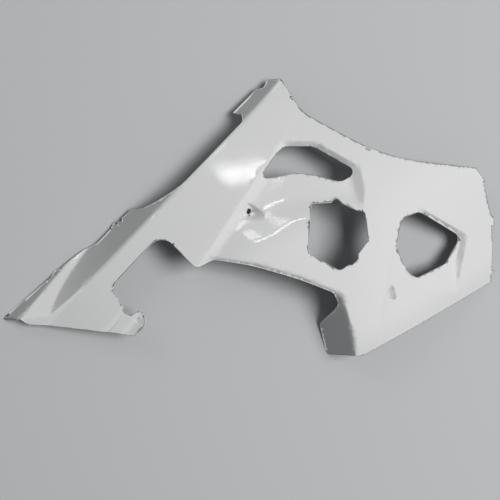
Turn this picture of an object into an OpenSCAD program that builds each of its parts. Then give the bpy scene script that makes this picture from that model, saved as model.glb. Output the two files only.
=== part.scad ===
// Left-hand mid and lower fairing of a sport motorcycle: one thin moulded shell, outer face up.
// The skin is a height over the bench, drawn as crowned surfaces that meet in folds. It is trimmed by
// the panel's edge, opened by two vents and an engine bay, and drilled for its screws.

/* [Shell] */
// Wall thickness of the moulding
wall = 2.8; // [2:0.1:4]
// Height of the crown above the bench
crown_h = 124; // [112:1:132]
// Crown radius towards the front wheel
crown_front_r = 590; // [520:5:800]
// Crown radius towards the engine
crown_rear_r = 1000; // [800:10:1600]
// Crown radius along the panel
crown_side_r = 1667; // [1200:10:2600]
// Height of the skin at the upper fairing joint
joint_h = 13.5; // [12:0.5:30]
// Fall of the skin towards the upper fairing joint
joint_slope = 0.5; // [0.42:0.01:0.56]
// Size of one facet of the skin
facet = 12; // [11:0.5:16]

/* [Belly] */
// Height of the belly fold above the bench
fold_h = 80; // [72:1:88]
// Radius of the belly fold seen from the side
fold_r = 1923; // [1700:10:3000]
// Steepest fall of the belly flange
belly_slope = 1.45; // [1.3:0.05:1.7]
// Rise of the skin from the fold to the ridge
strip_slope = 0.24; // [0.2:0.01:0.28]
// Radius scale of the folded edges
fold_soft = 6; // [3:0.5:9]

/* [Vents] */
// Depth of the front vent's recess
front_vent_depth = 16; // [10:1:20]
// Depth of the rear vent's recess
rear_vent_depth = 16; // [10:1:20]
// Steepness of the recess walls
lip_slope = 1.8; // [1.4:0.1:2.4]
// Width of the facet between the ridge and the crown
ridge_facet = 62; // [50:1:70]
// Fall of that facet under the plain skin, towards the ridge
ridge_slope = 0.25; // [0.15:0.01:0.3]

/* [Flanges] */
// Height of the rear flange
flange_h = 108; // [98:1:112]
// Steepness of the rear flange
flange_slope = 1.85; // [1.7:0.05:2]
// Depth of the rolled rim under the engine edge
rim_depth = 9; // [4:0.5:12]
// Step down to the tail tab
joggle = 5; // [3:0.5:6]
// Rise of the tail tab beyond its step
tab_rise = 0.3; // [0.1:0.05:0.4]

/* [Screws] */
// Hole in the tail tab
tail_hole_d = 9; // [6:0.5:10]
// Hole in the side screw pocket
side_hole_d = 11; // [8:0.5:12]
// Depth of the side screw's seat under the skin
seat_depth = 10; // [8:0.5:11]
// Depth of the blind pocket near the rear vent
blind_depth = 11; // [6:0.5:12]
// Holes in the belly tabs
belly_hole_d = 5; // [4:0.5:6]

/* [Hidden] */
high = 200;                             // taller than the shell
fold = [[-131, 58], [64, 261]];         // the belly fold in plan
fold_crest = -20;                       // highest place of the fold, along it
sharp_end = [-370, -200];               // the folds grow sharper between these places, along the fold
sharp_share = 0.3;
belly_edge = [-43.4, 0.0557];           // distance of the belly's free edge from the fold
crown = [120, -37.5];                   // top of the crown in plan
joint_at = [480, -127.5];               // lower end of the upper fairing joint
joint_twist = 0.14;
valley = [[-309, -59, 6], [-396, -213, 49], [-448, -202, 43]];    // the tail facet's plane
tail_fold = [[-334, -69], [-447, -202]];
tail_fold_h = [12, 44];
tail_edge = [10, 29.5];                  // width of the tail flange at the fold's ends
ridge = [[60, 139], [-61, -46]];
bank_slope = 0.8;                       // fall of the bank beside the ridge
front_lip = [[64, 143], [122, 143]];
front_lip_slant = [[126.5, 144.5], [209.5, 95.5]];
front_lip_side = [[214, 87], [222, 49]];
front_lip_end = [[222, 49], [215, 9]];
front_foot = [[[38, -12], [70, 17]], [[70, 17], [120, 26]]];    // where the recess floor meets the crown
front_foot_run = 100;                   // length of the rounded rise from the foot to the crown
front_foot_step = 3;                    // how much shallower the recess is over its foot
front_ledge_slope = 0.5;
front_fade = [-80, 15];                 // the recess fades out between these, along y
front_side_slope = 0.85;
ridge_fade = [10, 60];                  // the facet beside the ridge ends between these, along y
rear_lip = [[330, 14], [414, -37]];
rear_lip_side = [[417, -46], [399, -140]];
rear_floor_end = [[299, -122], [407, -146]];
rear_floor_side = [[313, -160], [313, 4]];
rear_side_slope = 0.85;
rear_end_slope = 0.26;
rear_floor_slope = 0.2;
rear_floor_step = 2;
joint_edge = [[219, -265], [483, -129]];
joint_roll_width = 28;
joint_roll_slope = 0.3;
engine_rim = [[[-65, -85], [13, -96]], [[13, -96], [98, -121]], [[98, -121], [163, -148]]];
rim_width = 6;
rim_start = [-80, -60];                 // the rolled rim rises between these, along x
rim_end = [168, 185];                   // and ends between these
rim_low = [-176, -162];                 // and between these along y
flange_fold = [[176, -158], [208, -263]];
flange_fall = 14;                       // drop of the flange's fold along it
flange_shoulder = [[155, -139], [180, -164]];
flange_top = [[90, -124], [161, -152]];
flange_top_slope = 4;
flange_start = 110;                     // the rear flange lies beyond this, along x
tail_step = [[-283, -223], [-241, -177]];
tab_step = [[-244, -227], [-214, -188]];
tab_share = 0.75;                       // the tab's own step, as a share of the joggle
tail_corner = [-180, -100];             // the tail lies beyond this
step_run = [7, 5];                      // length of the two steps' slopes

// Corners of the panel's edge with their radii, from the chin round by the belly and the engine side.
panel_edge = [
    [64, 271, 10], [38, 272, 6], [30, 255, 4], [16, 254, 4], [-32, 204, 1], [-13, 198, 6], [-12, 183, 6],
    [-79, 112, 300], [-131, 58, 120], [-176, 31, 120], [-207, 17, 30], [-230, 17, 6], [-252, -3, 1],
    [-248, -7, 1], [-269, -9, 14], [-273, -23, 4], [-299, -50, 12], [-329, -64, 22], [-370, -98, 1],
    [-366, -101, 1], [-385, -103, 12], [-394, -120, 4], [-493, -203, 3], [-447, -202, 8], [-433, -212, 16],
    [-396, -214, 60], [-248, -228, 60], [-222, -233, 12], [-198, -211, 16], [-199, -192, 16],
    [-207, -180, 8], [-228, -192, 16], [-242, -183, 6], [-241, -175, 4], [-264, -137, 20], [-166, -33, 29],
    [-98, -102, 15], [-67, -84, 20], [4, -94, 400], [98, -121, 600], [161, -146, 12], [174, -169, 16],
    [141, -210, 16], [156, -273, 8], [222, -267, 12], [484, -129, 2], [483, -113, 1], [489, -108, 1],
    [483, -103, 1], [482, -45, 100], [479, -16, 1], [486, -18, 1], [483, 0, 3], [476, 6, 2], [464, 49, 60],
    [459, 68, 2], [464, 68, 1], [456, 78, 4], [442, 95, 5], [266, 108, 400], [104, 201, 78]
];
front_vent = [[19, 69, 8], [65, 134, 26], [126, 134, 40], [209, 84, 11], [177, 65, 24], [101, 85, 120]];
engine_bay = [
    [120, 23, 4], [157, 25, 2], [167, 36, 7], [178, 23, 3], [206, 9, 8], [220, 8, 10], [227, -46, 10],
    [207, -73, 2], [208, -82, 2], [196, -93, 2], [189, -93, 2], [173, -104, 10], [113, -70, 8]
];
rear_vent = [
    [281, -58, 8], [292, -5, 16], [328, 8, 20], [416, -40, 15], [385, -91, 20], [322, -119, 10],
    [298, -96, 16]
];
slots = [
    [[81, 229.5, 0.5], [84, 231.5, 0.5], [89, 226.5, 0.5], [86, 224.5, 0.5]],
    [[225, 127.5, 0.5], [226, 130, 0.5], [233, 127.5, 0.5], [232, 125, 0.5]],
    [[478.5, -98, 1.5], [480, -96.5, 1.5], [481.5, -98, 1.5], [480, -99.5, 1.5]]
];
openings = [front_vent, engine_bay, rear_vent];
tail_hole = [-210, -200];
side_hole = [2, 9];
cup_tilt = 44;                          // the side screw leans by this
cup_turn = -17;                         // towards this direction in plan
cup_r = 11.5;                           // distance from its axis to the cup's far wall
cup_side_r = 5.8;                       // radius of that wall across the cup
cup_back = 2.2;                         // extra steepness of the cup's back wall
cup_reach = 24;
blind = [[275, -147], [7.6, 12.4], 15, 0.62];   // middle, half widths, turn and ramp of the blind pocket
blind_reach = 15.5;
pocket_wall = 2.4;                      // steepness of its wall
belly_holes = [[-259, -15], [-378, -110]];

// Smooth joins: a rounded corner between two surfaces, a soft start of a slope, and an S-shaped step.
function low(a, b, k) = min(a, b) - pow(max(k - abs(a - b), 0), 2) / (4 * k);
function high_of(a, b, k) = -low(-a, -b, k);
function soft(d, k) = d > k ? d : d < -k ? 0 : pow(d + k, 2) / (4 * k);
function step(v, a, b) = let (t = max(0, min(1, (v - a) / (b - a)))) t * t * (3 - 2 * t);

// Distance of p to the left of a line, and the share of the line that it has passed.
function side(p, line) =
    let (d = line[1] - line[0])
    (d.x * (p.y - line[0].y) - d.y * (p.x - line[0].x)) / norm(d);
function along(p, line) = let (d = line[1] - line[0]) ((p - line[0]) * d) / (d * d);
function plane_h(p, q) =
    let (a = q[1] - q[0], b = q[2] - q[0], n = cross(a, b))
    q[0].z - (n.x * (p.x - q[0].x) + n.y * (p.y - q[0].y)) / n.z;

// Place along the belly fold and distance from it.
fold_dir = (fold[1] - fold[0]) / norm(fold[1] - fold[0]);
function fold_u(p) = (p - fold[0]) * fold_dir;
function fold_v(p) = -side(p, fold);
function fold_top(u) = fold_h - pow(u - fold_crest, 2) / (2 * fold_r);
function at_fold(u, v) = fold[0] + u * fold_dir + v * [fold_dir.y, -fold_dir.x];

// The plain skin: the strip beside the belly, the crown, and the fall to the upper fairing joint.
function strip_skin(p) = fold_top(fold_u(p)) + strip_slope * fold_v(p);
function crown_skin(p) =
    let (d = p - crown, r = d.y > 0 ? crown_front_r : crown_rear_r)
    crown_h - d.y * d.y / (2 * r) - d.x * d.x / (2 * crown_side_r);
function joint_skin(p) = joint_h + joint_slope * (joint_at.x - p.x) + joint_twist * (p.y - joint_at.y);
function plain_skin(p) = low(low(strip_skin(p), crown_skin(p), 8), joint_skin(p), 40);

// What is sunk into it.
function front_floor(p) =
    let (
        walls = low(-lip_slope * side(p, front_lip), -lip_slope * side(p, front_lip_slant), 6),
        sides = -front_side_slope * high_of(side(p, front_lip_side), side(p, front_lip_end), 6),
        foot_depth = front_vent_depth - front_foot_step,
        bulge = foot_depth * pow(max(0, 1 + side(p, front_foot[0]) / front_foot_run), 2),
        ledge = foot_depth + front_ledge_slope * side(p, front_foot[1]),
        fade = front_vent_depth * step(p.y, front_fade[0], front_fade[1])
    )
    low(low(low(walls, sides, 5), low(high_of(bulge, ledge, 3), fade, 4), 4), front_vent_depth, 4);
function ridge_recess(p) =
    let (
        d = side(p, ridge),
        facet_fall = ridge_slope * (ridge_facet - d) * (1 - step(p.y, ridge_fade[0], ridge_fade[1]))
    )
    high_of(low(bank_slope * d, high_of(facet_fall, front_floor(p), 4), 3), 0, 3);
function rear_recess(p) =
    let (
        walls = low(-lip_slope * side(p, rear_lip), -rear_side_slope * side(p, rear_lip_side), 5),
        end = rear_end_slope * side(p, rear_floor_end),
        floor_h = low(end, rear_floor_step - rear_floor_slope * side(p, rear_floor_side), 8)
    )
    high_of(low(low(walls, floor_h, 5), rear_vent_depth, 4), 0, 3);

// An oval pocket, deepest at its start and ramped out towards its end.
function oval_pocket(p, oval, depth) =
    let (
        d = p - oval[0],
        e = [d.x * cos(oval[2]) + d.y * sin(oval[2]), d.y * cos(oval[2]) - d.x * sin(oval[2])],
        rim = 1 - norm([e.x / oval[1].x, e.y / oval[1].y]),
        bottom = depth * (1 - oval[3] * (e.x / oval[1].x + 0.5))
    )
    rim < -0.3 ? 0
    : high_of(low(pocket_wall * min(oval[1]) * rim, bottom, 2), 0, 0.8);
function joint_roll(p) = joint_roll_slope * soft(joint_roll_width - side(p, joint_edge), 20);
function engine_roll(p) =
    let (
        d = max([for (line = engine_rim) side(p, line)]),
        along_x = step(p.x, rim_start[0], rim_start[1]) * (1 - step(p.x, rim_end[0], rim_end[1]))
    )
    p.y > 0 ? 0
    : rim_depth * soft(rim_width - d, 3) / rim_width * along_x * step(p.y, rim_low[0], rim_low[1]);
function tail_steps(p) =
    let (
        first = step(-side(p, tail_step), 0, step_run[0]),
        second = tab_share * step(-side(p, tab_step), 0, step_run[1])
    )
    p.x > tail_corner.x || p.y > tail_corner.y ? 0
    : joggle * (first + second) - tab_rise * soft(-side(p, tab_step) - step_run[1], 2);

// The flanges, each a ruled surface from its fold down to its free edge.
function belly_flange(p) =
    let (
        u = fold_u(p),
        to_bench = -fold_top(u) / (belly_edge[0] + belly_edge[1] * u)
    )
    fold_top(u) + low(to_bench, belly_slope, 0.3) * fold_v(p);
function tail_flange(p) =
    let (
        t = max(0, along(p, tail_fold)),
        h = tail_fold_h[0] + t * (tail_fold_h[1] - tail_fold_h[0]),
        width = tail_edge[0] + t * (tail_edge[1] - tail_edge[0])
    )
    h * (1 + side(p, tail_fold) / width);
function rear_flange(p) =
    let (
        turn = high_of(side(p, flange_fold), side(p, flange_shoulder), 12),
        out = high_of(turn, flange_top_slope * side(p, flange_top), 4)
    )
    p.x < flange_start ? high : flange_h - flange_fall * along(p, flange_fold) + flange_slope * out;
function sharpness(p) =
    sharp_share + (1 - sharp_share) * step(fold_u(p), sharp_end[0], sharp_end[1]);
function underside(p) =
    low(high_of(belly_flange(p), plane_h(p, valley), 2.5 * sharpness(p)), tail_flange(p), 3);
function sunk_skin(p) =
    plain_skin(p) - ridge_recess(p) - rear_recess(p) - oval_pocket(p, blind, blind_depth)
        - joint_roll(p) - engine_roll(p) - tail_steps(p);

// The side screw's cup: a flat seat square to the screw, a rounded far wall and a steep back.
cup_dir = [cos(cup_turn), sin(cup_turn)];
seat_h = sunk_skin(side_hole) - seat_depth;
function screw_cup(p) =
    let (
        d = p - side_hole,
        r = d * cup_dir,
        q = cross(cup_dir, d),
        seat = cup_back * soft(-r - cup_r * cos(cup_tilt), 0.5) - r * tan(cup_tilt),
        far_wall = (r * cos(cup_tilt) - cup_r + q * q / (2 * cup_side_r)) / sin(cup_tilt)
    )
    seat_h + high_of(seat, far_wall, 1);
function skin_h(p) =
    let (rear = low(low(sunk_skin(p), screw_cup(p), 1), rear_flange(p), 5))
    low(rear + 0.5 * soft(-fold_v(p), 1), underside(p), fold_soft * sharpness(p));

// The skin's outward direction.
function skin_dir(p) =
    let (
        e = 2,
        n = [skin_h(p - [e, 0]) - skin_h(p + [e, 0]), skin_h(p - [0, e]) - skin_h(p + [0, e]), 2 * e]
    )
    n / norm(n);

// Facets: a mesh laid out along the fold, whose nodes move onto a crease that runs close by.
creases = [
    front_lip, front_lip_slant, front_lip_side, front_lip_end, rear_lip, rear_lip_side, flange_fold, ridge,
    [[valley[0].x, valley[0].y], [valley[1].x, valley[1].y]], tail_fold
];
function nearest(p, line) = let (t = max(0, min(1, along(p, line)))) line[0] + t * (line[1] - line[0]);
function snap(p) =
    let (
        places = [for (line = creases) nearest(p, line)],
        gaps = [for (q = places) norm(p - q)],
        least = min(gaps)
    )
    least < facet / 2 ? places[search(least, gaps)[0]] : p;
function within(p, edge) =
    let (
        n = len(edge),
        hits = [
            for (i = [0 : n - 1])
                let (a = edge[i], b = edge[(i + 1) % n])
                if ((a.y > p.y) != (b.y > p.y) && p.x < (b.x - a.x) * (p.y - a.y) / (b.y - a.y) + a.x) 1
        ]
    )
    len(hits) % 2 == 1;
function edge_gap(p, edge) =
    min([for (i = [0 : len(edge) - 1]) norm(p - nearest(p, [xy(edge[i]), xy(edge[(i + 1) % len(edge)])]))]);
function xy(c) = [c.x, c.y];

// Grid lines across and along the fold, closer where they pass the screw cup or the blind pocket.
edge_uv = [for (c = panel_edge) [fold_u(xy(c)), fold_v(xy(c))]];
cup_mid = side_hole + cup_r * cup_dir;
cup_uv = [fold_u(cup_mid), fold_v(cup_mid)];
blind_uv = [fold_u(blind[0]), fold_v(blind[0])];
function kept_line(i, w, k) =
    i % 6 == 0
    || (i % 2 == 0 && abs(w - cup_uv[k]) < cup_reach)
    || (i % 3 == 0 && abs(w - blind_uv[k]) < blind_reach);
function grid_lines(k) =
    let (
        first = floor(min([for (q = edge_uv) q[k]]) / facet) - 1,
        last = ceil(max([for (q = edge_uv) q[k]]) / facet) + 1
    )
    [for (i = [6 * first : 6 * last]) let (w = i * facet / 6) if (kept_line(i, w, k)) w];
u_lines = grid_lines(0);
v_lines = grid_lines(1);
u_count = len(u_lines) - 1;
v_count = len(v_lines) - 1;
spare = 1.9 * facet;                    // how far the untrimmed mesh runs past an edge
function used(p) =
    (within(p, panel_edge) || edge_gap(p, panel_edge) < spare)
    && len([for (hole = openings) if (within(p, hole) && edge_gap(p, hole) > spare) 1]) == 0;

module skin() {
    nodes_at = [for (u = u_lines, v = v_lines) snap(at_fold(u, v))];
    near_part = [for (p = nodes_at) used(p)];
    last = len(nodes_at) - 1;
    outer = [for (k = [0 : last]) let (p = nodes_at[k]) near_part[k] ? [p.x, p.y, skin_h(p)] : [0, 0, 0]];
    inner = [for (k = [0 : last]) near_part[k] ? outer[k] - wall * skin_dir(nodes_at[k]) : [0, 0, 0]];
    row = v_count + 1;
    depth = last + 1;
    function id(i, j) = i * row + j;
    function whole(k) = near_part[k] && near_part[k + 1] && near_part[k + row] && near_part[k + row + 1];
    cells = [for (i = [0 : u_count - 1]) [for (j = [0 : v_count - 1]) whole(id(i, j))]];
    function cell(i, j) = i >= 0 && j >= 0 && i < u_count && j < v_count && cells[i][j];
    function bend(a, b) = abs(skin_h((nodes_at[a] + nodes_at[b]) / 2) - (outer[a].z + outer[b].z) / 2);
    function both(a, b, c) = [[a, b, c], [depth + a, depth + c, depth + b]];
    function rim(a, b) = [[a, b, depth + a], [b, depth + b, depth + a]];
    faces = [
        for (i = [0 : u_count - 1], j = [0 : v_count - 1])
            if (cell(i, j))
                let (a = id(i, j), b = id(i + 1, j), c = id(i + 1, j + 1), d = id(i, j + 1))
                each concat(
                    bend(a, c) < bend(b, d)
                        ? concat(both(a, b, c), both(a, c, d))
                        : concat(both(a, b, d), both(b, c, d)),
                    cell(i - 1, j) ? [] : rim(a, d),
                    cell(i + 1, j) ? [] : rim(c, b),
                    cell(i, j - 1) ? [] : rim(b, a),
                    cell(i, j + 1) ? [] : rim(d, c)
                )
    ];
    polyhedron(concat(outer, inner), faces);
}

// A flat outline with round corners, cut short where the sides next to a corner leave less room.
function corner_arc(a, c, b) =
    let (
        p = xy(c),
        to_a = (xy(a) - p) / norm(xy(a) - p),
        to_b = (xy(b) - p) / norm(xy(b) - p),
        half = acos(max(-1, min(1, to_a * to_b))) / 2,
        room = min(norm(xy(a) - p), norm(xy(b) - p)) * 0.49,
        cut = min(c.z / tan(half), room),
        r = cut * tan(half),
        mid = p + (to_a + to_b) / norm(to_a + to_b) * r / sin(half),
        from = p + to_a * cut - mid,
        turn = (cross(to_a, to_b) > 0 ? -1 : 1) * (180 - 2 * half),
        steps = max(1, ceil(abs(turn) / 18), ceil(cut / 40))
    )
    half > 89 ? [p]
    : [
        for (k = [0 : steps])
            let (w = turn * k / steps)
            mid + [from.x * cos(w) - from.y * sin(w), from.x * sin(w) + from.y * cos(w)]
    ];
function rounded(corners) =
    let (n = len(corners))
    [for (i = [0 : n - 1]) each corner_arc(corners[(i + n - 1) % n], corners[i], corners[(i + 1) % n])];

module column(corners) {
    linear_extrude(high) polygon(rounded(corners));
}

module panel() {
    color("white")
    difference() {
        intersection() {
            skin();
            column(panel_edge);
        }
        for (hole = openings) column(hole);
        for (slot = slots) column(slot);
        bore_at(tail_hole, tail_hole_d);
        bore_at(side_hole, side_hole_d);
        for (p = belly_holes) bore_at(p, belly_hole_d);
    }
}

// A screw hole square to the skin.
module bore_at(p, d) {
    n = skin_dir(p);
    translate([p.x, p.y, skin_h(p)])
    rotate([0, acos(n.z), atan2(n.y, n.x)])
    cylinder(d = d, h = 30, center = true, $fn = 32);
}

panel();
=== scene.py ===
# Left-hand mid and lower fairing of a sport motorcycle: one glossy white moulded shell, outer face up.
import bmesh
import bpy
from math import ceil, cos, floor, hypot, pi, radians, sin, tan
from mathutils import Matrix, Vector


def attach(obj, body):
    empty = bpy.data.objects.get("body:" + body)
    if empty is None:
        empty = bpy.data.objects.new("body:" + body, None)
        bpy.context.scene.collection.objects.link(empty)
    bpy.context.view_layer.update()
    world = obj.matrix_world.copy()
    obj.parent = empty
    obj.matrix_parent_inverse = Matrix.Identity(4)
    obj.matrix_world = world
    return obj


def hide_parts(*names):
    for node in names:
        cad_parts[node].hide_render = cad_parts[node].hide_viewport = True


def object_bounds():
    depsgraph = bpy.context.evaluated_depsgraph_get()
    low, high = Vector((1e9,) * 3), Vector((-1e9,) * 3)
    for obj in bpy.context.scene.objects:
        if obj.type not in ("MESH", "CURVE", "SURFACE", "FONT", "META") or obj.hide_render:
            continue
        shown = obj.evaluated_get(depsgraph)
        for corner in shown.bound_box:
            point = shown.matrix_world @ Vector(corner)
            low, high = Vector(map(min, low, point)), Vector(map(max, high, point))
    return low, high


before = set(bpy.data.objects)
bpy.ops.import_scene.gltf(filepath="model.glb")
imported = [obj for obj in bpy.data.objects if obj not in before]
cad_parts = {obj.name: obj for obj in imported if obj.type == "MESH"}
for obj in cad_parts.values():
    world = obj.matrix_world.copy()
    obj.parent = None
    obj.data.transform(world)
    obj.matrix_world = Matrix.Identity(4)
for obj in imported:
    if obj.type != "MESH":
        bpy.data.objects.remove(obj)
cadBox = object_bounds()
scene = bpy.context.scene
scene.view_settings.view_transform = "Standard"
mm = 0.001

# The camera hangs straight over the bench, as in the photograph.
shot = {"over": (0.0035, -0.065), "height": 2.2, "lens": 79.4, "sensor": 36}
cameraData = bpy.data.cameras.new("camera")
cameraData.lens = shot["lens"]
cameraData.sensor_width = shot["sensor"]
camera = bpy.data.objects.new("camera", cameraData)
camera.location = (*shot["over"], shot["height"])
scene.collection.objects.link(camera)
scene.camera = camera
print("camera set")

# Sizes of the shell in millimetres and slopes as rise over run, as in the part's source.
shell = {
    "wall": 2.8, "crownH": 124, "crownFrontR": 590, "crownRearR": 1000, "crownSideR": 1667,
    "jointH": 13.5, "jointSlope": 0.5, "jointTwist": 0.14, "foldH": 80, "foldR": 1923, "foldLift": 0.5,
    "stripSlope": 0.24, "frontVentDepth": 16, "rearVentDepth": 16, "lipSlope": 1.35, "wallSlope": 0.7,
    "bulgeDrop": 3, "bulgeReach": 100, "footSlope": 0.5, "ridgeFacet": 62, "ridgeSlope": 0.25,
    "bankSlope": 0.8, "seatDepth": 10, "blindDepth": 14, "pocketWall": 9, "pocketMargin": 0.3,
    "flangeH": 108, "flangeSlope": 1.85, "flangeFall": 14, "topShare": 4, "bellySlope": 1.45,
    "rollSlope": 0.3, "rollWidth": 28, "rimDepth": 9, "rimWidth": 6,
    "joggle": 5, "stepWidth": 7, "tabShare": 0.75, "tabWidth": 5, "tabRise": 0.3,
    "tailHole": 9, "sideHole": 11, "bellyHole": 5,
    "ringDepth": 1.3, "ringRadius": 8.6, "ringRound": 1.6, "lineStep": 0.7, "groove": 2, "rimRound": 0.8,
}
rearSlope = {"lip": 1.5, "lipSide": 1.25, "floorEnd": 0.26, "floorSide": 0.5}

# Widths over which two surfaces meet, in millimetres; those of the tail steps are shares of a step.
blend = {
    "strip": 8, "joint": 40, "frontLip": 6, "frontWall": 5, "foot": 8, "floor": 4,
    "facet": 1, "facetFoot": 9, "bank": 4, "recess": 1.5, "rearCorner": 12, "rearFloor": 5, "rearFoot": 3,
    "pocketFoot": 0.8, "pocketRim": 0.4, "roll": 20, "rim": 3, "stepTop": 0.3, "stepFoot": 0.06, "tab": 1,
    "belly": 0.3, "shoulder": 12, "flangeTop": 4, "cupBack": 0.5, "cup": 1, "flange": 5,
    "valley": 2.5, "tail": 3, "lift": 1, "fold": 6,
}

# The mesh: its grid along the fold, how fine it is cut, and what counts as one place.
mesh = {
    "grid": 6, "finest": 0.8, "turns": (5, 8, 12), "fineRounds": 2, "fineEdge": 1.5,
    "onLine": 0.01, "weld": 1.6, "merge": 0.35, "holePoints": 40,
}
arc = {"room": 0.49, "straight": 89, "turn": 9, "run": 20}

# Places in plan, in millimetres.
fold = ((-131, 58), (64, 261))
foldCrest = -20
sharpEnd = (-370, -200)
sharpShare = 0.3
bellyEdge = (-43.4, 0.0557)
crown = (120, -37.5)
jointAt = (480, -127.5)
valley = ((-309, -59, 3.8), (-396, -213, 46.8), (-448, -202, 40.8))
tailFold = ((-334, -69), (-447, -202))
tailFoldH = (12, 44)
tailEdge = (10, 29.5)
ridge = ((60, 139), (-61, -46))
frontLip = ((64, 144.5), (122, 144.5))
frontLipSlant = ((126.5, 144.5), (209.5, 95.5))
frontLipSide = ((214, 87), (222, 49))
frontLipEnd = ((222, 49), (215, 9))
frontFoot = (((38, -12), (70, 17)), ((70, 17), (120, 26)))
frontFade = (-80, 15)
rearLip = ((337.5, 10.4), (419, -32))
rearLipSide = ((425.5, -50.7), (408.6, -139.7))
rearFloorEnd = ((299, -122), (407, -146))
rearFloorSide = ((322, -160), (322, 4))
jointEdge = ((219, -265), (483, -129))
engineRim = (((-65, -85), (13, -96)), ((13, -96), (98, -121)), ((98, -121), (163, -148)))
flangeFold = ((176, -158), (208, -263))
flangeShoulder = ((155, -139), (180, -164))
flangeTop = ((90, -124), (161, -152))
tailStep = ((-283, -223), (-241, -177))
tabStep = ((-244, -227), (-214, -188))
facetFade = (10, 60)
flangeFrom = 110
aboveAll = 200
engineSpan = ((-80, -60), (168, 185), (-176, -162))     # the rolled rim's ends, twice along x, once along y
tailCorner = (-180, -100)

# Corners of the edge with their radii, from the chin round by the belly and the engine side.
panelEdge = [
    (64, 271, 10), (38, 272, 6), (30, 255, 4), (16, 254, 4), (-32, 204, 1), (-13, 198, 6), (-12, 183, 6),
    (-79, 112, 300), (-131, 58, 120), (-176, 31, 120), (-207, 17, 30), (-230, 17, 6), (-252, -3, 1),
    (-248, -7, 1), (-269, -9, 14), (-273, -23, 4), (-299, -50, 12), (-329, -64, 22), (-370, -98, 1),
    (-366, -101, 1), (-385, -103, 12), (-394, -120, 4), (-493, -203, 3), (-447, -202, 8), (-433, -212, 16),
    (-396, -214, 60), (-248, -228, 60), (-222, -233, 12), (-198, -211, 16), (-199, -192, 16),
    (-207, -180, 8), (-228, -192, 16), (-242, -183, 6), (-241, -175, 4), (-264, -137, 20), (-166, -33, 29),
    (-98, -102, 15), (-67, -84, 20), (4, -94, 400), (98, -121, 600), (161, -146, 12), (174, -169, 16),
    (141, -210, 16), (156, -273, 8), (222, -267, 12), (484, -129, 2), (483, -113, 1), (489, -108, 1),
    (483, -103, 1), (482, -45, 100), (479, -16, 1), (486, -18, 1), (483, 0, 3), (476, 6, 2), (464, 49, 60),
    (459, 68, 2), (464, 68, 1), (456, 78, 4), (442, 95, 5), (266, 108, 400), (104, 201, 78),
]
frontVent = [(19, 69, 8), (65, 134, 26), (126, 134, 40), (209, 84, 11), (177, 65, 24), (101, 85, 120)]
engineBay = [
    (120, 23, 4), (157, 25, 2), (167, 36, 7), (178, 23, 3), (206, 9, 8), (220, 8, 10), (227, -46, 10),
    (207, -73, 2), (208, -82, 2), (196, -93, 2), (189, -93, 2), (173, -104, 10), (113, -70, 8),
]
rearVent = [
    (281, -58, 8), (292, -5, 16), (328, 8, 20), (416, -40, 15), (385, -91, 20), (322, -119, 10),
    (298, -96, 16),
]
slots = [
    [(81, 229.5, 0.5), (84, 231.5, 0.5), (89, 226.5, 0.5), (86, 224.5, 0.5)],
    [(225, 127.5, 0.5), (226, 130, 0.5), (233, 127.5, 0.5), (232, 125, 0.5)],
    [(478.5, -98, 1.5), (480, -96.5, 1.5), (481.5, -98, 1.5), (480, -99.5, 1.5)],
]
sideHole = (2, 9)
cup = {"tilt": 44, "turn": -17, "r": 9.5, "sideR": 11, "back": 2.2}     # the side screw's cup
blind = ((275, -147), (8.6, 12.6), 15, 0.9)     # middle, half widths, turn and ramp of the blind pocket
stepLine = ((252, -207), (277, -56))        # a thin step that runs from the rear vent to the engine side
tailSeat = (-210, -200)
tailGroove = ((-277, -228.4), (-235, -182.4))
grooveSpan = (6, 8.6, 8.8, 10)      # where it starts, is deepest and ends, past the tail step
lineSpan = {"start": (-0.03, 0.12), "end": (0.9, 1.02), "rise": (-0.9, 0.3), "fall": (4, 22)}
fineZones = [
    (stepLine, 4), ((tailSeat, tailSeat), 12), (tailStep, 5), (tailGroove, 5), (tabStep, 5),
    ((blind[0], blind[0]), 15), ((sideHole, (22, 4)), 16),
]
screwHoles = {
    tailSeat: shell["tailHole"], sideHole: shell["sideHole"],
    (-259, -15): shell["bellyHole"], (-378, -110): shell["bellyHole"],
}


# Rounded meeting of two surfaces, soft start of a slope, and an S-shaped step.
def low(a, b, k):
    return min(a, b) - max(k - abs(a - b), 0) ** 2 / (4 * k)


def high(a, b, k):
    return -low(-a, -b, k)


def soft(d, k):
    return d if d > k else 0 if d < -k else (d + k) ** 2 / (4 * k)


def step(v, a, b):
    t = max(0, min(1, (v - a) / (b - a)))
    return t * t * (3 - 2 * t)


# Distance to the left of a line, and the share of the line that is passed.
def side(x, y, line):
    (ax, ay), (bx, by) = line
    return ((bx - ax) * (y - ay) - (by - ay) * (x - ax)) / hypot(bx - ax, by - ay)


def along(x, y, line):
    (ax, ay), (bx, by) = line
    return ((x - ax) * (bx - ax) + (y - ay) * (by - ay)) / ((bx - ax) ** 2 + (by - ay) ** 2)


# Distance to the nearest point of a line from end to end.
def gap(x, y, line):
    (ax, ay), (bx, by) = line
    t = 0 if line[0] == line[1] else max(0, min(1, along(x, y, line)))
    return hypot(x - ax - t * (bx - ax), y - ay - t * (by - ay))


def planeHeight(x, y, points):
    a, b, c = (Vector(p) for p in points)
    n = (b - a).cross(c - a)
    return a.z - (n.x * (x - a.x) + n.y * (y - a.y)) / n.z


foldLength = hypot(fold[1][0] - fold[0][0], fold[1][1] - fold[0][1])
foldDir = ((fold[1][0] - fold[0][0]) / foldLength, (fold[1][1] - fold[0][1]) / foldLength)


def foldU(x, y):
    return along(x, y, fold) * foldLength


def foldV(x, y):
    return -side(x, y, fold)


def foldTop(u):
    return shell["foldH"] - (u - foldCrest) ** 2 / (2 * shell["foldR"])


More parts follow.
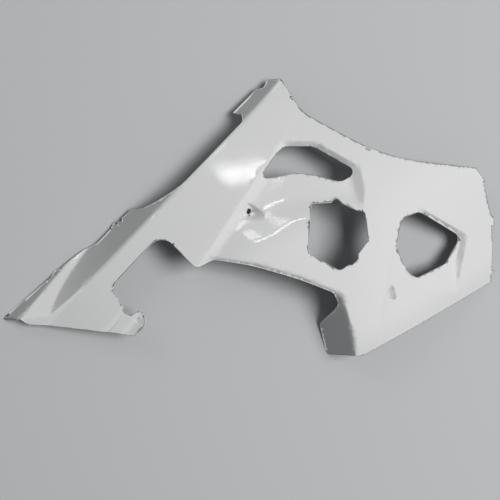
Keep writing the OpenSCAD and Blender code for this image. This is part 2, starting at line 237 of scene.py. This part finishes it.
# The strip beside the belly, the crown, and the fall to the upper fairing joint.
def plainSkin(x, y):
    strip = foldTop(foldU(x, y)) + shell["stripSlope"] * foldV(x, y)
    dx, dy = x - crown[0], y - crown[1]
    acrossR = shell["crownFrontR"] if dy > 0 else shell["crownRearR"]
    top = shell["crownH"] - dy * dy / (2 * acrossR) - dx * dx / (2 * shell["crownSideR"])
    fall = shell["jointSlope"] * (jointAt[0] - x)
    joint = shell["jointH"] + fall + shell["jointTwist"] * (y - jointAt[1])
    return low(low(strip, top, blend["strip"]), joint, blend["joint"])


# The front recess: lip walls, side walls, and a floor that bulges up towards its foot.
def frontFloor(x, y):
    depth, slope = shell["frontVentDepth"], shell["lipSlope"]
    walls = low(-slope * side(x, y, frontLip), -slope * side(x, y, frontLipSlant), blend["frontLip"])
    ends = high(side(x, y, frontLipSide), side(x, y, frontLipEnd), blend["frontLip"])
    crest = depth - shell["bulgeDrop"]
    bulge = crest * max(0, 1 + side(x, y, frontFoot[0]) / shell["bulgeReach"]) ** 2
    foot = high(bulge, crest + shell["footSlope"] * side(x, y, frontFoot[1]), blend["foot"])
    bottom = low(foot, depth * step(y, *frontFade), blend["foot"])
    around = low(walls, -shell["wallSlope"] * ends, blend["frontWall"])
    return low(low(around, bottom, blend["floor"]), depth, blend["floor"])


def ridgeRecess(x, y):
    d = side(x, y, ridge)
    lower = 1 - step(y, *facetFade)
    facetFall = shell["ridgeSlope"] * (shell["ridgeFacet"] - d) * lower
    bottom = high(facetFall, frontFloor(x, y), blend["facet"] + blend["facetFoot"] * lower)
    return high(low(shell["bankSlope"] * d, bottom, blend["bank"]), 0, blend["recess"])


def rearRecess(x, y):
    lip = -rearSlope["lip"] * side(x, y, rearLip)
    lipSide = -rearSlope["lipSide"] * side(x, y, rearLipSide)
    floorEnd = rearSlope["floorEnd"] * side(x, y, rearFloorEnd)
    floorSide = -rearSlope["floorSide"] * side(x, y, rearFloorSide)
    walls = low(lip, lipSide, blend["rearCorner"])
    floors = low(floorEnd, floorSide, blend["rearFloor"])
    bottom = low(low(walls, floors, blend["rearFoot"]), shell["rearVentDepth"], blend["rearFoot"])
    return high(bottom, 0, blend["recess"])


# An oval pocket, deepest at its start and ramped out towards its end.
def ovalPocket(x, y, oval, depth):
    (mx, my), (halfLength, halfWidth), turn, ramp = oval
    dx, dy = x - mx, y - my
    c, s = cos(radians(turn)), sin(radians(turn))
    ex, ey = dx * c + dy * s, dy * c - dx * s
    rim = 1 - hypot(ex / halfLength, ey / halfWidth)
    if rim < -shell["pocketMargin"]:
        return 0
    bottom = depth * (1 - ramp * (ex / halfLength + 0.5))
    wall = shell["pocketWall"] * min(halfLength, halfWidth) * rim
    return high(low(wall, bottom, blend["pocketFoot"]), 0, blend["pocketRim"])


# The edges that roll down: along the upper fairing joint, and round the engine side.
def jointRoll(x, y):
    return shell["rollSlope"] * soft(shell["rollWidth"] - side(x, y, jointEdge), blend["roll"])


def engineRoll(x, y):
    if y > 0:
        return 0
    width = shell["rimWidth"]
    d = max(side(x, y, line) for line in engineRim)
    tail, nose, foot = engineSpan
    span = step(x, *tail) * (1 - step(x, *nose)) * step(y, *foot)
    return shell["rimDepth"] / width * soft(width - d, blend["rim"]) * span


# Two steps down at the tail, the second to the screw's tab, which rises a little again.
def tailSteps(x, y):
    if x > tailCorner[0] or y > tailCorner[1]:
        return 0
    pastTab = -side(x, y, tabStep)
    first, second = (
        low(high(share, 0, blend["stepTop"]), 1, blend["stepFoot"])
        for share in (-side(x, y, tailStep) / shell["stepWidth"], pastTab / shell["tabWidth"])
    )
    rise = shell["tabRise"] * soft(pastTab - shell["tabWidth"], blend["tab"])
    return shell["joggle"] * (first + shell["tabShare"] * second) - rise


# Fine forms that only the render has: the tail screw's round seat, the tail's groove, the thin step line.
def fineForms(x, y):
    seat = hypot(x - tailSeat[0], y - tailSeat[1])
    radius = shell["ringRadius"]
    if seat < radius:
        return shell["ringDepth"] * (1 - step(seat, radius - shell["ringRound"], radius))
    past = -side(x, y, tailStep)
    start, deepest, rising, end = grooveSpan
    if x < tailCorner[0] and start < past < end:
        return shell["groove"] * (step(past, start, deepest) - step(past, rising, end))
    t, away = along(x, y, stepLine), side(x, y, stepLine)
    fade = step(t, *lineSpan["start"]) * (1 - step(t, *lineSpan["end"]))
    return shell["lineStep"] * fade * step(away, *lineSpan["rise"]) * (1 - step(away, *lineSpan["fall"]))


# The flanges, each a ruled surface from its fold down to its free edge.
def bellyFlange(x, y):
    u = foldU(x, y)
    toBench = -foldTop(u) / (bellyEdge[0] + bellyEdge[1] * u)
    return foldTop(u) + low(toBench, shell["bellySlope"], blend["belly"]) * foldV(x, y)


def tailFlange(x, y):
    t = max(0, along(x, y, tailFold))
    top = tailFoldH[0] + t * (tailFoldH[1] - tailFoldH[0])
    return top * (1 + side(x, y, tailFold) / (tailEdge[0] + t * (tailEdge[1] - tailEdge[0])))


def rearFlange(x, y):
    if x < flangeFrom:
        return aboveAll
    fall = shell["flangeFall"] * along(x, y, flangeFold)
    away = high(side(x, y, flangeFold), side(x, y, flangeShoulder), blend["shoulder"])
    away = high(away, shell["topShare"] * side(x, y, flangeTop), blend["flangeTop"])
    return shell["flangeH"] - fall + shell["flangeSlope"] * away


def sunkSkin(x, y):
    sunk = plainSkin(x, y) - ridgeRecess(x, y) - rearRecess(x, y) - ovalPocket(x, y, blind, shell["blindDepth"])
    return sunk - jointRoll(x, y) - engineRoll(x, y) - tailSteps(x, y) - fineForms(x, y)


# The side screw's cup: a flat seat square to the screw, a rounded far wall and a steep back.
seatHeight = sunkSkin(*sideHole) - shell["seatDepth"]


def screwCup(x, y):
    tilt, turn = radians(cup["tilt"]), radians(cup["turn"])
    dx, dy = x - sideHole[0], y - sideHole[1]
    r = dx * cos(turn) + dy * sin(turn)
    q = dy * cos(turn) - dx * sin(turn)
    seat = cup["back"] * soft(-r - cup["r"] * cos(tilt), blend["cupBack"]) - r * tan(tilt)
    bow = (q ** 2 + q ** 4 / cup["sideR"] ** 2) / (2 * cup["sideR"])
    farWall = (r * cos(tilt) - cup["r"] + bow) / sin(tilt)
    return seatHeight + high(seat, farWall, blend["cup"])


def skinHeight(x, y):
    sunk = low(sunkSkin(x, y), screwCup(x, y), blend["cup"])
    rear = low(sunk, rearFlange(x, y), blend["flange"])
    sharp = sharpShare + (1 - sharpShare) * step(foldU(x, y), *sharpEnd)
    belly = high(bellyFlange(x, y), planeHeight(x, y, valley), blend["valley"] * sharp)
    under = low(belly, tailFlange(x, y), blend["tail"])
    return low(rear + shell["foldLift"] * soft(-foldV(x, y), blend["lift"]), under, blend["fold"] * sharp)


def skinNormal(x, y, e=0.4):
    return Vector((
        skinHeight(x - e, y) - skinHeight(x + e, y), skinHeight(x, y - e) - skinHeight(x, y + e), 2 * e,
    )).normalized()


# An outline with its corners rounded.
def rounded(corners):
    points = []
    for i, corner in enumerate(corners):
        mid = Vector(corner[:2])
        toLast = Vector(corners[i - 1][:2]) - mid
        toNext = Vector(corners[(i + 1) % len(corners)][:2]) - mid
        room = min(toLast.length, toNext.length) * arc["room"]
        toLast.normalize()
        toNext.normalize()
        half = toLast.angle(toNext) / 2
        if half > radians(arc["straight"]):
            points.append(mid)
            continue
        cut = min(corner[2] / tan(half), room)
        radius = cut * tan(half)
        centre = mid + (toLast + toNext).normalized() * radius / sin(half)
        start = mid + toLast * cut - centre
        turn = (-1 if toLast.cross(toNext) > 0 else 1) * (pi - 2 * half)
        steps = max(2, ceil(abs(turn) / radians(arc["turn"])), ceil(cut / arc["run"]))
        points += [centre + Matrix.Rotation(turn * k / steps, 2) @ start for k in range(steps + 1)]
    return points


# A screw hole's outline in plan: a circle square to the skin, seen from above.
def holeOutline(place, width):
    n = skinNormal(*place)
    turn = Vector((0, 0, 1)).rotation_difference(n)
    count = mesh["holePoints"]
    angles = [2 * pi * k / count for k in range(count)]
    ring = (turn @ Vector((cos(w), sin(w), 0)) * width / 2 for w in angles)
    return [Vector((place[0] + p.x, place[1] + p.y)) for p in ring]


# The flat blank: the outline with its openings and holes filled, then cut into a grid along the fold.
def cutBlank():
    bm = bmesh.new()
    outlines = [rounded(corners) for corners in (panelEdge, frontVent, engineBay, rearVent, *slots)]
    outlines += [holeOutline(place, width) for place, width in screwHoles.items()]
    for outline in outlines:
        ring = [bm.verts.new((p.x, p.y, 0)) for p in outline]
        for i, v in enumerate(ring):
            bm.edges.new((ring[i - 1], v))
    bmesh.ops.triangle_fill(bm, use_beauty=True, edges=bm.edges[:])
    for edge in bm.edges:
        edge.seam = not edge.is_boundary      # edges of the filling, dissolved after the cuts
    corner = Vector((*fold[0], 0))
    for across in (Vector((*foldDir, 0)), Vector((foldDir[1], -foldDir[0], 0))):
        reach = [(v.co - corner).dot(across) for v in bm.verts]
        for k in range(ceil(min(reach) / mesh["grid"]), floor(max(reach) / mesh["grid"]) + 1):
            bmesh.ops.bisect_plane(
                bm, geom=bm.verts[:] + bm.edges[:] + bm.faces[:], dist=mesh["onLine"],
                plane_co=corner + across * (k * mesh["grid"]), plane_no=across)
    filling = [e for e in bm.edges if e.seam and not e.is_boundary]
    bmesh.ops.dissolve_edges(bm, edges=filling, use_verts=False)
    # a grid corner close to the edge moves onto it
    close = {}
    for v in bm.verts:
        if not v.is_boundary:
            near = [e for e in v.link_edges if e.other_vert(v).is_boundary and e.calc_length() < mesh["weld"]]
            if near:
                close[v] = min(near, key=lambda e: e.calc_length()).other_vert(v)
    bmesh.ops.weld_verts(bm, targetmap=close)
    bmesh.ops.remove_doubles(bm, verts=[v for v in bm.verts if v.is_boundary], dist=mesh["merge"])
    bmesh.ops.recalc_face_normals(bm, faces=bm.faces[:])
    if sum(f.normal.z for f in bm.faces) < 0:
        bmesh.ops.reverse_faces(bm, faces=bm.faces[:])
    return bm


# The blank is raised to the skin's height, and cut finer where the skin turns.
def raiseSkin(bm):
    normals = {}

    def place(verts):
        for v in verts:
            if v not in normals:
                v.co.z = skinHeight(v.co.x, v.co.y)
                normals[v] = skinNormal(v.co.x, v.co.y)

    for line, halfWidth in fineZones:
        for k in range(mesh["fineRounds"]):
            close = [
                e for e in bm.edges
                if e.calc_length() > mesh["fineEdge"]
                and any(gap(v.co.x, v.co.y, line) < halfWidth for v in e.verts)
            ]
            bmesh.ops.subdivide_edges(bm, edges=close, cuts=1, use_grid_fill=True)
    place(bm.verts)
    for turn in mesh["turns"]:
        sharp = [
            e for e in bm.edges
            if e.calc_length() > mesh["finest"] * 2
            and normals[e.verts[0]].angle(normals[e.verts[1]]) > radians(turn)
        ]
        bmesh.ops.subdivide_edges(bm, edges=sharp, cuts=1, use_grid_fill=True)
        place(bm.verts)
    return {v: normals[v] for v in bm.verts}


# The inner face lies a wall below, and a rounded rim joins the two.
def thicken(bm, normals):
    wall, rimRound = shell["wall"], shell["rimRound"]
    full = wall / rimRound
    halfOut, halfDown = 0.7, 0.3      # a point half way round the corner
    outer = bm.faces[:]
    border = [e for e in bm.edges if e.is_boundary]
    outward = {}
    for e in border:
        run = e.verts[1].co - e.verts[0].co
        out = Vector((run.y, -run.x, 0)).normalized()
        if out.dot(e.link_faces[0].calc_center_median() - e.verts[0].co) > 0:
            out.negate()
        for v in e.verts:
            outward[v] = outward.get(v, Vector()) + out
    for v, out in outward.items():
        out -= out.dot(normals[v]) * normals[v]
        out.normalize()
        v.co -= out * rimRound
    copied = bmesh.ops.duplicate(bm, geom=bm.verts[:] + bm.edges[:] + outer)
    twin = copied["vert_map"]
    inner = [f for f in copied["geom"] if isinstance(f, bmesh.types.BMFace)]
    for v, normal in list(normals.items()):
        twin[v].co = v.co - normal * wall
        normals[twin[v]] = -normal
    bmesh.ops.reverse_faces(bm, faces=inner)
    # the rim grows out of the outer face's border in five bands and ends on the inner one
    edges, source = border, {v: v for v in outward}
    bands = ((halfOut, halfDown), (1, 1), (1, full - 1), (halfOut, full - halfDown), (0, full))
    for out, down in bands:
        made = bmesh.ops.extrude_edge_only(bm, edges=edges)["geom"]
        edges = [e for e in made if isinstance(e, bmesh.types.BMEdge) and len(e.link_faces) == 1]
        fresh = {}
        for v in (v for v in made if isinstance(v, bmesh.types.BMVert)):
            below = next(e.other_vert(v) for e in v.link_edges if e.other_vert(v) in source)
            fresh[v] = source[below]
        for v, first in fresh.items():
            v.co = first.co + (outward[first] * out - normals[first] * down) * rimRound
        source = fresh
    bmesh.ops.remove_doubles(bm, verts=list(source) + [twin[v] for v in outward], dist=mesh["onLine"])
    rim = set(bm.faces) - set(outer) - set(inner)
    return outer, inner, rim


bm = cutBlank()
print("blank cut:", len(bm.faces), "faces")
normals = raiseSkin(bm)
print("skin raised:", len(bm.faces), "faces")
outer, inner, rim = thicken(bm, normals)
print("wall made:", len(bm.faces), "faces")
for v in bm.verts:
    v.co.z = max(v.co.z, 0)      # the feet stand flat on the bench
bmesh.ops.scale(bm, vec=(mm, mm, mm), verts=bm.verts)
bmesh.ops.recalc_face_normals(bm, faces=list(rim))
rimShare = bm.verts.layers.float.new("rim")
sunkShare = bm.verts.layers.float.new("sunk")
for f in rim:
    for v in f.verts:
        v[rimShare] = 1
for v in bm.verts:
    x, y = v.co.x / mm, v.co.y / mm
    v[sunkShare] = min(1, (ridgeRecess(x, y) + rearRecess(x, y)) / shell["frontVentDepth"])
for f in bm.faces:
    f.smooth = True
for f in inner:
    f.material_index = 1
vertNormals = [normals.get(v, Vector()) for v in bm.verts]
skinMesh = bpy.data.meshes.new("panelSkin")
bm.to_mesh(skinMesh)
bm.free()
skinMesh.normals_split_custom_set_from_vertices(vertNormals)
panel = bpy.data.objects.new("panelSkin", skinMesh)
scene.collection.objects.link(panel)
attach(panel, "root")
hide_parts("panel")


# A material with its Principled shader.
def newMaterial(name, settings):
    material = bpy.data.materials.new(name)
    material.use_nodes = True
    shader = material.node_tree.nodes["Principled BSDF"]
    for socket, value in settings.items():
        shader.inputs[socket].default_value = value
    return material, material.node_tree, shader


# Short ways to add nodes: a value or a link for a socket, one node with its settings, a mask over a range,
# a product, a sum, and a mix of two colours.
def feed(tree, socket, value):
    if isinstance(value, bpy.types.NodeSocket):
        tree.links.new(value, socket)
    else:
        socket.default_value = value


def addNode(tree, kind, settings=None, **values):
    node = tree.nodes.new("ShaderNode" + kind)
    for name, value in (settings or {}).items():
        setattr(node, name, value)
    for name, value in values.items():
        feed(tree, node.inputs[name.replace("_", " ")], value)
    return node


def mask(tree, value, start, end):
    settings = {"Value": value, "From_Min": start, "From_Max": end}
    return addNode(tree, "MapRange", {"interpolation_type": "SMOOTHSTEP"}, **settings).outputs["Result"]


def combine(tree, operation, a, b):
    node = addNode(tree, "Math", {"operation": operation})
    feed(tree, node.inputs[0], a)
    feed(tree, node.inputs[1], b)
    return node.outputs[0]


def product(tree, a, b):
    return combine(tree, "MULTIPLY", a, b)


def total(tree, a, b):
    return combine(tree, "ADD", a, b)


def mixColour(tree, factor, a, b):
    node = addNode(tree, "Mix", {"data_type": "RGBA"}, Factor=factor)
    for name, value in (("A", a), ("B", b)):
        feed(tree, next(s for s in node.inputs if s.name == name and s.type == "RGBA"), value)
    return next(s for s in node.outputs if s.type == "RGBA")


# The noises behind the marks, and the ranges of the masks that are made from them.
noises = {
    "waves": {"Scale": 260.0, "Detail": 1.0}, "specks": {"Scale": 1500.0, "Detail": 0.0},
    "cloud": {"Scale": 7.0, "Detail": 5.0, "Distortion": 0.6}, "scratch": {"Scale": 1.0, "Detail": 3.0},
    "grain": {"Scale": 900.0, "Detail": 2.0},
}
streaks = {"Scale": (14.0, 420.0, 60.0), "Rotation": (0.0, 0.0, 0.8)}
ranges = {
    "smudge": (0.45, 0.75), "dusty": (0.7, 0.35), "speck": (0.67, 0.75), "scratch": (0.69, 0.76),
    "worn": (0.35, 0.65),
}


# Marks that both materials share, as masks: fine moulding waves, dust, smudges, scuffs and grain.
def makeMarks():
    group = bpy.data.node_groups.new("surfaceMarks", "ShaderNodeTree")
    for name in ("Waves", "Dust", "Smudge", "Scuff", "Grain"):
        group.interface.new_socket(name, in_out="OUTPUT", socket_type="NodeSocketFloat")
    places = group.nodes.new("ShaderNodeTexCoord").outputs["Object"]
    out = group.nodes.new("NodeGroupOutput")
    streaked = addNode(group, "Mapping", Vector=places, **streaks).outputs[0]
    noise = {}
    for name, settings in noises.items():
        vector = streaked if name == "scratch" else places
        noise[name] = addNode(group, "TexNoise", Vector=vector, **settings).outputs["Fac"]
    smudge = mask(group, noise["cloud"], *ranges["smudge"])
    dusty = mask(group, noise["cloud"], *ranges["dusty"])
    links = {
        "Waves": noise["waves"], "Grain": noise["grain"], "Smudge": smudge,
        "Dust": product(group, mask(group, noise["specks"], *ranges["speck"]), dusty),
        "Scuff": product(group, mask(group, noise["scratch"], *ranges["scratch"]), smudge),
    }
    for name, value in links.items():
        group.links.new(value, out.inputs[name])
    return group


marks = makeMarks()


def addMarks(tree):
    node = tree.nodes.new("ShaderNodeGroup")
    node.node_tree = marks
    return node.outputs


def share(tree, name):
    return addNode(tree, "Attribute", {"attribute_name": name}).outputs["Fac"]


def finishMaterial(tree, shader, colour, rough, bump):
    for name, socket in (("Base Color", colour), ("Roughness", rough), ("Normal", bump.outputs["Normal"])):
        tree.links.new(socket, shader.inputs[name])


# Outer face: glossy white plastic with faint waves, dust in the recesses, smudges, and a duller worn rim.
gloss = {
    "white": (0.81, 0.81, 0.8, 1), "dust": (0.45, 0.44, 0.42, 1), "worn": (0.7, 0.7, 0.69, 1),
    "dustLeast": 0.35, "dustShare": 0.5, "wornShare": 0.8, "rough": 0.05, "smudged": 0.03,
    "dusted": 0.3, "wornRough": 0.25, "waves": 0.05, "waveHeight": 0.001,
}
glossyWhite, tree, shader = newMaterial("glossyWhite", {"Coat Weight": 0.3, "Coat Roughness": 0.06})
out = addMarks(tree)
rimWear = product(tree, share(tree, "rim"), mask(tree, out["Grain"], *ranges["worn"]))
dust = product(tree, out["Dust"], total(tree, gloss["dustLeast"], share(tree, "sunk")))
colour = mixColour(tree, product(tree, dust, gloss["dustShare"]), gloss["white"], gloss["dust"])
colour = mixColour(tree, product(tree, rimWear, gloss["wornShare"]), colour, gloss["worn"])
rough = total(tree, gloss["rough"], product(tree, out["Smudge"], gloss["smudged"]))
rough = total(tree, rough, product(tree, dust, gloss["dusted"]))
rough = total(tree, rough, product(tree, total(tree, rimWear, out["Scuff"]), gloss["wornRough"]))
bump = addNode(tree, "Bump", Strength=gloss["waves"], Distance=gloss["waveHeight"], Height=out["Waves"])
finishMaterial(tree, shader, colour, rough, bump)

# Inner face: the same plastic as moulded, matt and grained, with dusty patches.
matt = {
    "white": (0.66, 0.66, 0.65, 1), "dust": (0.4, 0.39, 0.37, 1), "smudged": 0.25, "dusted": 0.4,
    "rough": 0.5, "grainRough": 0.2, "grain": 0.25, "grainHeight": 0.0004,
}
mouldedWhite, tree, shader = newMaterial("mouldedWhite", {"Specular IOR Level": 0.4})
out = addMarks(tree)
dust = total(tree, product(tree, out["Smudge"], matt["smudged"]), product(tree, out["Dust"], matt["dusted"]))
colour = mixColour(tree, dust, matt["white"], matt["dust"])
rough = total(tree, matt["rough"], product(tree, out["Grain"], matt["grainRough"]))
bump = addNode(tree, "Bump", Strength=matt["grain"], Distance=matt["grainHeight"], Height=out["Grain"])
finishMaterial(tree, shader, colour, rough, bump)
skinMesh.materials.append(glossyWhite)
skinMesh.materials.append(mouldedWhite)
print("materials made")

# Floor: a plain pale bench, darker to the light that bounces off it.
bench = {"size": 30, "below": 0.0003, "seen": (0.58, 0.59, 0.6, 1), "lit": (0.12, 0.12, 0.125, 1)}
bm = bmesh.new()
bmesh.ops.create_grid(bm, x_segments=1, y_segments=1, size=bench["size"])
floorMesh = bpy.data.meshes.new("bench")
bm.to_mesh(floorMesh)
bm.free()
floorPiece = bpy.data.objects.new("bench", floorMesh)
floorPiece.location.z = cadBox[0][2] - bench["below"]
scene.collection.objects.link(floorPiece)
benchPaint, tree, shader = newMaterial("benchPaint", {"Roughness": 0.8, "Specular IOR Level": 0.2})
seen = addNode(tree, "LightPath").outputs["Is Camera Ray"]
tree.links.new(mixColour(tree, seen, bench["lit"], bench["seen"]), shader.inputs["Base Color"])
floorMesh.materials.append(benchPaint)

# Lights: a broad lamp up to the right and a weak fill light the panel, a window and its upper pane up to
# the left are only mirrored in it, and the room is dim.
lamps = {
    "ceiling": {"at": (2.7, 0.1, 5.2), "size": (2.2, 2.2), "watts": 255, "mirrored": False},
    "fill": {"at": (-1.3, 1.5, 2.2), "size": (1.4, 1.2), "watts": 5, "mirrored": False},
    "window": {"at": (-0.62, 1.29, 2.3), "size": (0.42, 0.085), "watts": 0.95, "mirrored": True},
    "upperPane": {"at": (-0.97, 1.6, 2.3), "size": (0.26, 0.4), "watts": 1.4, "mirrored": True},
}
for name, lamp in lamps.items():
    light = bpy.data.lights.new(name, "AREA")
    light.shape = "RECTANGLE"
    light.size, light.size_y = lamp["size"]
    light.energy = lamp["watts"]
    holder = bpy.data.objects.new(name, light)
    holder.location = lamp["at"]
    holder.rotation_euler = Vector(lamp["at"]).to_track_quat("Z", "Y").to_euler()
    holder.visible_glossy = lamp["mirrored"]
    holder.visible_diffuse = not lamp["mirrored"]
    scene.collection.objects.link(holder)
room = {"colour": (0.9, 0.95, 1, 1), "strength": 0.13}
world = bpy.data.worlds.new("room")
scene.world = world
world.use_nodes = True
world.node_tree.nodes["Background"].inputs["Color"].default_value = room["colour"]
world.node_tree.nodes["Background"].inputs["Strength"].default_value = room["strength"]
print("stage lit")
